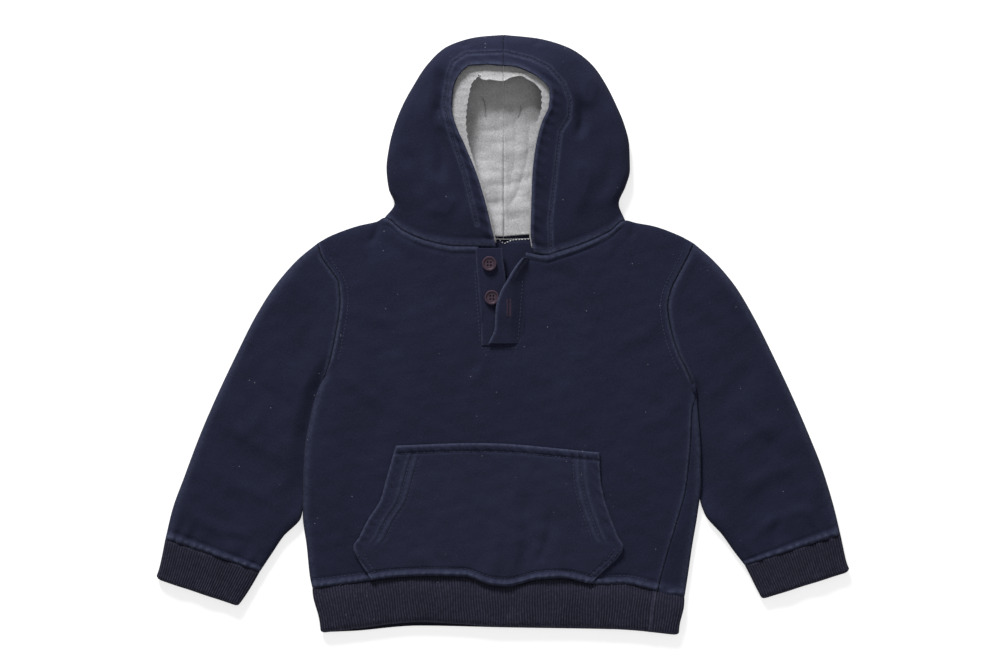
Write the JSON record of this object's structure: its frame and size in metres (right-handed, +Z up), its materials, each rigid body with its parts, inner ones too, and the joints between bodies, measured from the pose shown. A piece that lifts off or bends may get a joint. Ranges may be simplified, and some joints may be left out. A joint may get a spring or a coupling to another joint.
{
  "type": "hooded jumper",
  "caption": "Toddler's navy fleece hooded jumper laid flat, with half placket, grey marl hood lining, kangaroo pocket and rib cuffs and hem",
  "frame": {"origin": "on the surface the garment lies on, under the centre of its bounding box", "axes": "+X is the wearer's left, +Y runs up the garment to the hood, +Z is up off the surface"},
  "size_m": [0.5528, 0.4784, 0.024],
  "materials": {
    "fleece": "garment-washed brushed fleece, matt, paler along seams",
    "rib": "knitted rib, matt",
    "lining": "grey marl jersey, matt",
    "button": "plum resin with a soft shine"
  },
  "bodies": {
    "root": {"front_panel": "fleece", "back_panel": "fleece", "sleeve_right": "fleece", "sleeve_left": "fleece", "cuff_right": "rib", "cuff_left": "rib", "hem_rib": "rib", "hood_right": "fleece", "hood_left": "fleece", "hood_lining_right": "lining", "hood_lining_left": "lining", "kangaroo_pocket": "fleece", "placket_under": "fleece", "placket_over": "fleece", "button_upper": "button", "button_lower": "button"}
  },
  "joints": []
}
